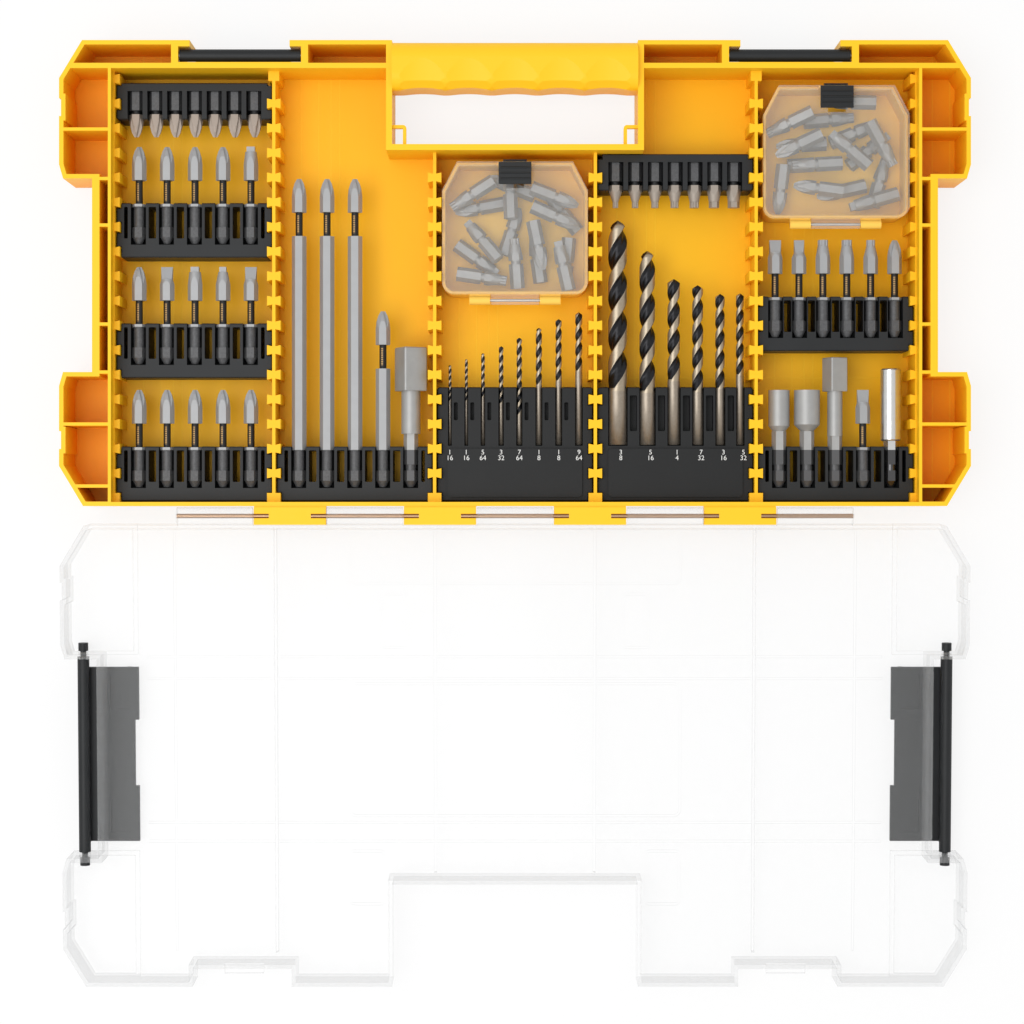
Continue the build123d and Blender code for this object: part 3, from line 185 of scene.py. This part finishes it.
def yellow_plastic(name, rim_colour, shaded_colour, pocket_shade_colour, low, high):
    """Yellow plastic with painted shade: a deeper orange from high down to low, and deeper still
    in the pockets.
    """
    material, flow, shader = new_finish(name, IOR=1.49, Specular_IOR_Level=0.25)
    where = place(flow)
    clouds = noise(flow, where, size=0.05, detail=2.0)
    # painted shade: the colour deepens from the rim down to the floor, and deeper still in the
    # pockets
    rise = flow.node("ShaderNodeMapRange", {}, {0: axis_of(flow, where, "Z"), 1: low, 2: high})
    sideways = flow.maths("ABSOLUTE", axis_of(flow, where, "X"))
    beyond = axis_of(flow, where, "Y") > top_pocket_y
    pocket = flow.maths("MAXIMUM", sideways > side_pocket_x, beyond)
    darker = tuple(value * cloud_shade for value in shaded_colour)
    deep = between(flow, pocket, between(flow, clouds, darker, shaded_colour), pocket_shade_colour)
    lines = mould_lines(flow, where)
    deep = between(flow, lines * mould_line_paleness, deep, rim_colour)
    feed(shader, Base_Color=between(flow, rise, deep, rim_colour))
    fine = noise(flow, where, size=0.0006, detail=2.0)
    stretched = flow.node("ShaderNodeMapping", {}, {"Vector": where, "Scale": flow_mark_scale})
    marks = noise(flow, stretched, size=0.004, detail=2.0)
    relief = fine + marks + lines * mould_line_rise
    feed(shader, Roughness=fine * 0.12 + marks * 0.1 + 0.34)
    feed(shader, Normal=grain(flow, relief, depth=0.00004, strength=0.5))
    return material


def dress(node, material):
    """Give a carried-over piece its finish."""
    for slot in frame["nodes"][node].material_slots:
        slot.material = material


yellow = yellow_plastic("yellow_plastic", rim_colour=(0.98, 0.56, 0.014),
                        shaded_colour=(0.98, 0.515, 0.005), pocket_shade_colour=(0.96, 0.41, 0.001),
                        low=shade_low, high=rim_z)
dress("tray", yellow)
dress("tray_dividers", yellow)


# The lid is moulded in one piece from clear plastic, and turns on the hinge pins by the barrels
# along its near edge. It is seen from its inside as it lies open: its flat plate lets the table
# through, and its upright walls, ribs and beads show as grey lines, a shade painted where they
# are seen edge on.
def clear_plastic(name, veil, edge, face_colour, edge_shade_colour):
    """Clear plastic, hardly seen face on, with a painted grey shade where it is seen edge on."""
    material, flow, shader = new_finish(name, IOR=1.5, Metallic=0.0)
    where = place(flow)
    clouds = noise(flow, where, size=0.03, detail=2.0)
    facing = flow.node("ShaderNodeLayerWeight", {}, {"Blend": 0.35}, "Facing")
    # painted shade: greyer where the surface is seen edge on
    feed(shader, Base_Color=between(flow, facing, face_colour, edge_shade_colour))
    feed(shader, Roughness=clouds * 0.05 + 0.06, Alpha=facing * edge + veil)
    waves = noise(flow, where, size=0.012, detail=1.0)
    feed(shader, Normal=grain(flow, waves, depth=0.00006, strength=0.4))
    return material


lid_clear = clear_plastic("lid_clear", veil=0.045, edge=0.42,
                          face_colour=(0.92, 0.93, 0.93), edge_shade_colour=(0.55, 0.56, 0.57))
dress("lid", lid_clear)

# The hinge pins are drawn steel wire, cut to length and laid in open seats of the tray; their
# copper tint is a painted reflection of the yellow tray around them. The latches' and small
# boxes' pins, the detent balls and the magnets are bright steel, held in their holes.
drawn_line_scale = (40.0, 1500.0, 1500.0)


def drawn_steel(name, dark, light):
    """Steel with fine lines along X, the way that it was drawn."""
    material, flow, shader = new_finish(name, Metallic=0.9)
    inputs = {"Vector": place(flow), "Scale": drawn_line_scale}
    drawn = flow.node("ShaderNodeMapping", {}, inputs)
    lines = noise(flow, drawn, size=1.0)
    feed(shader, Base_Color=between(flow, lines, dark, light))
    feed(shader, Roughness=lines * 0.2 + 0.22)
    return material


# painted reflection: the copper tint stands for the yellow tray that the pins mirror
steel_yellow_reflection = drawn_steel("steel_yellow_reflection", (0.30, 0.17, 0.09), (0.52, 0.33, 0.20))
dress("hinge_pins", steel_yellow_reflection)
bright_steel = drawn_steel("bright_steel", (0.42, 0.41, 0.40), (0.62, 0.61, 0.60))
for node in ("front_latch_pins", "half_inch_ball", "three_eighths_ball",
             "bit_box_left_pin", "bit_box_right_pin", "nut_driver_magnets", "bit_holder_magnet"):
    dress(node, bright_steel)


# The latches, bars, sliders and drill racks are moulded from black plastic with a fine
# spark-eroded grain. The bars and racks slide down over the dividers' teeth, and the racks
# are a deeper black than the rest.
def black_plastic(name, dark, light):
    """Grained black plastic with faint clouds."""
    material, flow, shader = new_finish(name, IOR=1.5, Specular_IOR_Level=0.3)
    where = place(flow)
    fine = noise(flow, where, size=0.0005)
    clouds = noise(flow, where, size=0.02, detail=2.0)
    feed(shader, Base_Color=between(flow, clouds, dark, light))
    feed(shader, Roughness=fine * 0.2 + 0.38)
    feed(shader, Normal=grain(flow, fine, depth=0.00005, strength=0.6))
    return material


black = black_plastic("black_plastic", (0.011, 0.012, 0.013), (0.017, 0.0185, 0.020))
for node in ("front_latch_left", "front_latch_right", "side_latch_left", "side_latch_right",
             "insert_bar_left", "insert_bar_right", "power_bar_upper", "power_bar_middle",
             "power_bar_lower", "power_bar_right", "long_bar", "adapter_bar",
             "bit_box_left_slider", "bit_box_right_slider"):
    dress(node, black)
deep_black = black_plastic("deep_black_plastic", (0.005, 0.0055, 0.006), (0.008, 0.0085, 0.009))
dress("small_drill_rack", deep_black)
dress("large_drill_rack", deep_black)

# The bits are machined from quarter inch hexagon steel and lie in the slots of their bars. Their
# heads are soft grey, a black sleeve with a dashed gold stripe lies in the neck, and the shank
# beyond it is dark and hammered. Every zone is measured from the tail, so a row has one finish.
outer_column_x = 2 * column_pitch
power_pitch = 0.01415
right_pitch = 0.0121
insert_pitch = 0.010
upper_tail = hinge_y + 0.1376
middle_tail = hinge_y + 0.0768
lower_tail = hinge_y + 0.0146
right_tail = hinge_y + 0.0904
left_insert_tail = hinge_y + 0.2176
right_insert_tail = hinge_y + 0.1817
right_first_x = outer_column_x + right_pitch / 2
dark_tail_length = 0.0188
power_sleeve = (0.0201, 0.0322)
long_sleeve = (0.1269, 0.1390)
reach_sleeve = (0.0599, 0.0720)
insert_sleeve = (0.0122, 0.0142)
stripe_left = -0.0009
stripe_right = 0.0001
stripe_margin = 0.0016
dash_pitch = 0.0011
dash_gap_share = 0.32
hammered_dark = (0.028, 0.029, 0.031)
hammered_light = (0.15, 0.15, 0.154)
sleeve_black = (0.014, 0.014, 0.015)
stripe_gold = (0.36, 0.22, 0.08)
highlight = 1.25              # how much lighter a head's palest patches are
soft_grey = (0.31, 0.315, 0.32)
left_insert_tint = (0.30, 0.25, 0.21)
right_insert_tint = (0.30, 0.26, 0.22)
bit_rows = {                  # tail's y, way it points, sleeve, a bit's x, pitch and tint
    "power_bits_upper":
        (upper_tail, 1, power_sleeve, -outer_column_x, power_pitch, soft_grey),
    "power_bits_middle":
        (middle_tail, 1, power_sleeve, -outer_column_x, power_pitch, soft_grey),
    "power_bits_lower":
        (lower_tail, 1, power_sleeve, -outer_column_x, power_pitch, soft_grey),
    "power_bits_right":
        (right_tail, 1, power_sleeve, right_first_x, right_pitch, soft_grey),
    "long_bits":
        (lower_tail, 1, long_sleeve, -column_pitch, power_pitch, soft_grey),
    "reach_bit":
        (lower_tail, 1, reach_sleeve, -column_pitch, power_pitch, soft_grey),
    "slotted_bit":
        (lower_tail, 1, power_sleeve, outer_column_x, power_pitch, soft_grey),
    "insert_bits_left":
        (left_insert_tail, -1, insert_sleeve, -outer_column_x, insert_pitch, left_insert_tint),
    "insert_bits_right":
        (right_insert_tail, -1, insert_sleeve, column_pitch, insert_pitch, right_insert_tint),
}


def pitted_mix(flow, pitted, clouds, first, second):
    """Steel between two colours, uneven over large patches and in small pits."""
    return between(flow, clouds * 0.6 + pitted * 0.4, first, second)


def bit_finish(name, tail, way, sleeve_reach, bit_x, pitch, tint):
    """Steel for a row of bits, whose zones lie across their length."""
    material, flow, shader = new_finish(name, Metallic=0.35)
    where = place(flow)
    along = (axis_of(flow, where, "Y") - tail) * way
    pitted = noise(flow, where, size=0.0004)
    clouds = noise(flow, where, size=0.006, detail=2.0)
    light = tuple(value * highlight for value in tint)
    bright = pitted_mix(flow, pitted, clouds, tint, light)
    lumps = noise(flow, where, size=0.0011, detail=4.0, roughness=0.7)
    dark = between(flow, lumps, hammered_dark, hammered_light)
    neck, head = sleeve_reach
    sleeve = (along > neck) * (along < head)
    offset = row_offset(flow, where, bit_x, pitch)
    inside = (along > neck + stripe_margin) * (along < head - stripe_margin)
    dashes = flow.maths("FRACT", along / dash_pitch) > dash_gap_share
    stripe = (offset > stripe_left) * (offset < stripe_right) * inside * dashes
    trim = between(flow, stripe, sleeve_black, stripe_gold)
    tail_zone = along < min(neck, dark_tail_length)
    colour = between(flow, tail_zone, bright, dark)
    feed(shader, Base_Color=between(flow, sleeve, colour, trim))
    relief = pitted * 0.3 + lumps * tail_zone
    feed(shader, Roughness=pitted * 0.12 + 0.46 - stripe * 0.1)
    feed(shader, Normal=grain(flow, relief, depth=0.00012, strength=0.7))
    return material


for node, row in bit_rows.items():
    dress(node, bit_finish(node + "_steel", *row))

# The nut drivers, the square drives, the bit holder and the loose bits are ground smoother and
# have no black sleeves. The tools' shanks are dark where the lowest bars hold them, and the
# bit holder is chrome plated.
held_dark = (0.09, 0.09, 0.093)


def ground_steel(name, dark, light, rough, metallic):
    """Ground steel, dark on the shank ends that the lowest bars hold."""
    material, flow, shader = new_finish(name, Metallic=metallic)
    where = place(flow)
    pitted = noise(flow, where, size=0.0004)
    clouds = noise(flow, where, size=0.006, detail=2.0)
    shade = pitted_mix(flow, pitted, clouds, dark, light)
    low = axis_of(flow, where, "Y") < lower_tail + dark_tail_length
    feed(shader, Base_Color=between(flow, low, shade, held_dark))
    feed(shader, Roughness=pitted * 0.15 + rough)
    feed(shader, Normal=grain(flow, pitted, depth=0.00003, strength=0.5))
    return material


tool_steel = ground_steel("tool_steel", (0.30, 0.30, 0.295), (0.42, 0.42, 0.41),
                          rough=0.38, metallic=0.4)
for node in ("half_inch_adapter", "three_eighths_adapter", "nut_driver_small",
             "nut_driver_large", "large_drills", "small_drills"):
    dress(node, tool_steel)
chrome = ground_steel("chrome_sleeve", (0.60, 0.60, 0.59), (0.75, 0.75, 0.74),
                      rough=0.16, metallic=0.9)
dress("bit_holder", chrome)
loose_steel = ground_steel("loose_steel", (0.24, 0.245, 0.25), (0.38, 0.385, 0.39),
                           rough=0.42, metallic=0.6)
dress("bit_box_left_bits", loose_steel)
dress("bit_box_right_bits", loose_steel)

# The twist drills are ground from steel rod, with two helical flutes that run out into a plain
# shank. They lie in the slots of two racks with their points towards the handle. Heat has left
# the flutes black, the lands gold and the shanks bronze.
inch = 0.0254
drill_height = 0.020
drill_tail = hinge_y + 0.036
drill_sides = 40
point_half_angle = math.radians(59)
blunt_share = 0.999           # a point ends just short of its full length
turn_share = 4.3              # length of a turn of the flutes, in diameters
steps_per_turn = 26
fewest_steps = 24
run_out_share = 1.5           # length over which the flutes reach their depth, in diameters
flute_share = 0.42            # depth of a flute, in radii
flute_steepness = 1.6         # higher makes a flute's walls steeper
flute_breadth = 0.35          # higher makes a flute broader
flute_roundness = 0.6         # below 1, a wall falls steeply and then levels out
black_from_share = 0.22       # where the flutes' black begins, in diameters
black_depth = 0.17            # how deep a flute is at its black's edge, of its full depth
drill_sets = {                # rack's middle, then inches, and length, x and plain length in mm
    "small_drills": (0.0, [
        (1 / 16, 40.4, -32.9, 22.0), (1 / 16, 43.5, -24.6, 22.0), (5 / 64, 46.5, -16.2, 24.0),
        (3 / 32, 50.0, -7.0, 20.5), (7 / 64, 54.3, 2.2, 15.0), (1 / 8, 59.3, 12.1, 30.0),
        (1 / 8, 63.7, 22.1, 32.0), (9 / 64, 67.2, 32.3, 37.0)]),
    "large_drills": (column_pitch, [
        (3 / 8, 113.7, -29.0, 27.0), (5 / 16, 98.3, -14.0, 26.0), (1 / 4, 84.1, -0.6, 32.0),
        (7 / 32, 80.9, 11.5, 26.5), (3 / 16, 76.5, 22.8, 28.0), (5 / 32, 76.8, 32.9, 35.0)]),
}


def piece_from(mesh, name, materials, smooth=True):
    """A piece made from a bmesh, with its finishes."""
    bmesh.ops.recalc_face_normals(mesh, faces=mesh.faces)
    data = bpy.data.meshes.new(name)
    mesh.to_mesh(data)
    mesh.free()
    for material in materials:
        data.materials.append(material)
    if smooth:
        data.shade_smooth()
    piece = bpy.data.objects.new(name, data)
    bpy.context.collection.objects.link(piece)
    return piece


def flute_depth(angle):
    """How deep the two flutes are at an angle round a drill, from 0 to 1."""
    fall = math.cos(2 * angle) * flute_steepness + flute_breadth
    return min(1.0, max(0.0, fall)) ** flute_roundness


def add_drill(mesh, x, length, diameter, plain):
    """One twist drill along +Y from its shank end: a ring drawn out, then spun with a rise."""
    drill = bmesh.new()
    point = diameter / 2 / math.tan(point_half_angle)
    turn = turn_share * diameter
    fluted = length * blunt_share - plain
    steps = max(fewest_steps, int(fluted / turn * steps_per_turn))
    ring = bmesh.ops.create_circle(drill, segments=drill_sides, radius=diameter / 2)["verts"]
    edges = list({edge for vert in ring for edge in vert.link_edges})
    drawn = bmesh.ops.extrude_edge_only(drill, edges=edges)["geom"]
    bmesh.ops.translate(drill, verts=[v for v in drawn if isinstance(v, bmesh.types.BMVert)],
                        vec=(0, 0, plain))
    end = [part for part in drawn if not isinstance(part, bmesh.types.BMFace)]
    bmesh.ops.spin(drill, geom=end, cent=(0, 0, 0), axis=(0, 0, 1), dvec=(0, 0, fluted / steps),
                   angle=2 * math.pi * fluted / turn, steps=steps, use_merge=False)
    bmesh.ops.holes_fill(drill, edges=[edge for edge in drill.edges if edge.is_boundary], sides=0)
    for face in drill.faces:
        middle = face.calc_center_median()
        rise = middle.z - plain
        if rise > 0:
            angle = math.atan2(middle.y, middle.x) - 2 * math.pi * rise / turn
            grooved = flute_depth(angle) > black_depth and rise > black_from_share * diameter
            face.material_index = 1 if grooved else 2
    for vert in drill.verts:
        rise = vert.co.z - plain
        deep = flute_share * min(1.0, max(0.0, rise / (run_out_share * diameter)))
        angle = math.atan2(vert.co.y, vert.co.x) - 2 * math.pi * max(0.0, rise) / turn
        shrink = min(1.0, (length - vert.co.z) / point) * (1 - deep * flute_depth(angle))
        vert.co.xy = vert.co.xy * shrink
    bmesh.ops.rotate(drill, verts=drill.verts, cent=(0, 0, 0),
                     matrix=Matrix.Rotation(math.radians(-90), 3, "X"))
    bmesh.ops.translate(drill, verts=drill.verts, vec=(x, drill_tail, drill_height))
    shape = bpy.data.meshes.new("one_drill")
    drill.to_mesh(shape)
    drill.free()
    mesh.from_mesh(shape)
    bpy.data.meshes.remove(shape)


def oxide(name, dark, light, rough):
    """Steel coloured by heat, with fine streaks."""
    material, flow, shader = new_finish(name, Metallic=0.8)
    streaks = noise(flow, place(flow), size=0.0012)
    feed(shader, Base_Color=between(flow, streaks, dark, light))
    feed(shader, Roughness=streaks * 0.15 + rough)
    feed(shader, Normal=grain(flow, streaks, depth=0.00002, strength=0.5))
    return material


drill_finishes = [
    oxide("shank_bronze", (0.27, 0.225, 0.175), (0.40, 0.345, 0.28), rough=0.34),
    oxide("flute_black", (0.012, 0.012, 0.014), (0.035, 0.035, 0.038), rough=0.28),
    oxide("land_gold", (0.32, 0.26, 0.19), (0.48, 0.41, 0.31), rough=0.30),
]
for node, (middle, drills) in drill_sets.items():
    mesh = bmesh.new()
    for size, length, x, plain in drills:
        add_drill(mesh, middle + x / 1000, length / 1000, size * inch, plain / 1000)
    piece = piece_from(mesh, "twist_" + node, drill_finishes)
    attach(piece, node.replace("drills", "drill_rack"))
    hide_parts(node)

# The drill sizes are printed on the racks' raised plates in matt white ink, as plain fractions
# stacked in two lines. Each lies on the hinge's side of its drill's shank end, and those of
# the large drills a little to the right of it.
figure_height = 0.0034
figure_line_share = 0.85      # from one line to the next, in figure heights
figure_thickness = 0.00006
figure_y = hinge_y + 0.0321
figure_lift = 0.00002
figure_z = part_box("small_drill_rack")[1].z + figure_lift
figure_shift = {"small_drills": 0.0, "large_drills": 0.0014}
ink_dull = (0.62, 0.62, 0.60)
ink_bright = (0.88, 0.88, 0.86)


def printed(lines, x):
    """Centred white figures, one under another, as meshes in place."""
    made = []
    for number, line in enumerate(lines):
        curve = bpy.data.curves.new("figure", "FONT")
        curve.body = line
        curve.size = figure_height
        curve.align_x, curve.align_y = "CENTER", "CENTER"
        curve.extrude = figure_thickness
        letters = bpy.data.objects.new("figure", curve)
        bpy.context.collection.objects.link(letters)
        letters.location = (x, figure_y - number * figure_height * figure_line_share, figure_z)
        bpy.context.view_layer.update()
        scene_now = bpy.context.evaluated_depsgraph_get()
        mesh = bpy.data.meshes.new_from_object(letters.evaluated_get(scene_now))
        mesh.transform(letters.matrix_world)
        bpy.data.objects.remove(letters)
        made.append(mesh)
    return made


def white_print():
    """Matt white ink."""
    material, flow, shader = new_finish("white_print", Metallic=0.0)
    specks = noise(flow, place(flow), size=0.0003, detail=2.0)
    feed(shader, Base_Color=between(flow, specks, ink_dull, ink_bright))
    feed(shader, Roughness=specks * 0.1 + 0.5)
    return material


white = white_print()
for node, (middle, drills) in drill_sets.items():
    figures = bmesh.new()
    for size, _, x, _ in drills:
        fraction = [str(part) for part in size.as_integer_ratio()]
        for mesh in printed(fraction, middle + x / 1000 + figure_shift[node]):
            figures.from_mesh(mesh)
    piece = piece_from(figures, node + "_figures", [white], smooth=False)
    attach(piece, node.replace("drills", "drill_rack"))

# The two small boxes for loose bits slide down over the dividers' teeth. Their bases are moulded
# from a paler yellow plastic than the tray, and their thin clear lids each turn on a steel pin.
box_rim_z = 0.022
box_clear = clear_plastic("box_clear", veil=0.10, edge=0.45,
                          face_colour=(0.92, 0.91, 0.88), edge_shade_colour=(0.70, 0.68, 0.64))
# painted shade: the bases' yellow deepens from their rim down towards the floor
box_yellow = yellow_plastic("box_yellow", rim_colour=(0.98, 0.60, 0.10),
                            shaded_colour=(0.96, 0.56, 0.05), pocket_shade_colour=(0.96, 0.56, 0.05),
                            low=shade_low, high=box_rim_z)
for side in ("left", "right"):
    dress(f"bit_box_{side}_base", box_yellow)
    dress(f"bit_box_{side}_lid", box_clear)

# The case lies open on a white table. The table glows towards the camera and in reflections,
# so that it shows white, and still takes the case's shadow.
table_half = 3.0
table_drop = 0.0003
glow_share = 0.8
table = bmesh.new()
bmesh.ops.create_grid(table, x_segments=1, y_segments=1, size=table_half)
bmesh.ops.translate(table, verts=table.verts, vec=(0, 0, -table_drop))
table_mesh = bpy.data.meshes.new("table_top")
table.to_mesh(table_mesh)
table.free()
top = bpy.data.objects.new("table_top", table_mesh)
bpy.context.collection.objects.link(top)
table_white, flow, shader = new_finish("table_white", Base_Color=(0.86, 0.86, 0.86, 1),
                                       Roughness=0.9)
glow = flow.node("ShaderNodeEmission", {}, {"Color": (1, 1, 1, 1), "Strength": 1.0})
seen = flow.node("ShaderNodeLightPath", {}, {}, "Is Camera Ray")
mirrored = flow.node("ShaderNodeLightPath", {}, {}, "Is Glossy Ray")
share = (seen + mirrored) * glow_share
lit = Flow(flow.tree, shader.outputs[0])
shown = flow.node("ShaderNodeMixShader", {}, {0: share, 1: lit, 2: glow})
flow.tree.links.new(shown.socket, flow.tree.nodes["Material Output"].inputs["Surface"])
table_mesh.materials.append(table_white)

# A large soft lamp hangs above the case's left, a little towards the open lid, and an even
# white room fills in the shadows.
lamp_place = Vector((-0.55, hinge_y - 0.15, 1.60))
lamp_width = 1.3
lamp_depth = 1.1
lamp_watts = 14.0
room_strength = 0.80
lamp = bpy.data.lights.new("soft_lamp", "AREA")
lamp.shape = "RECTANGLE"
lamp.size, lamp.size_y = lamp_width, lamp_depth
lamp.energy = lamp_watts
lamp_object = bpy.data.objects.new("soft_lamp", lamp)
lamp_object.location = lamp_place
aim = Vector((0, hinge_y, 0)) - lamp_place
lamp_object.rotation_euler = aim.to_track_quat("-Z", "Y").to_euler()
bpy.context.collection.objects.link(lamp_object)
room = bpy.data.worlds.new("white_room")
room.use_nodes = True
backdrop = room.node_tree.nodes["Background"]
backdrop.inputs["Color"].default_value = (1, 1, 1, 1)
backdrop.inputs["Strength"].default_value = room_strength
bpy.context.scene.world = room

# The camera looks straight down from above the hinge, which runs across the middle of the
# view. The view's width is measured at the height of the tray's rim.
view_width = 0.512
view_height = 1.23
view_x = -0.0015
view_y = hinge_y + 0.002
camera = bpy.data.cameras.new("camera")
camera.sensor_width = 36.0
camera.lens = camera.sensor_width * view_height / view_width
camera.clip_start, camera.clip_end = 0.05, 20.0
camera_object = bpy.data.objects.new("camera", camera)
camera_object.location = (view_x, view_y, rim_z + view_height)
bpy.context.collection.objects.link(camera_object)
bpy.context.scene.camera = camera_object
bpy.context.scene.view_settings.view_transform = "Standard"
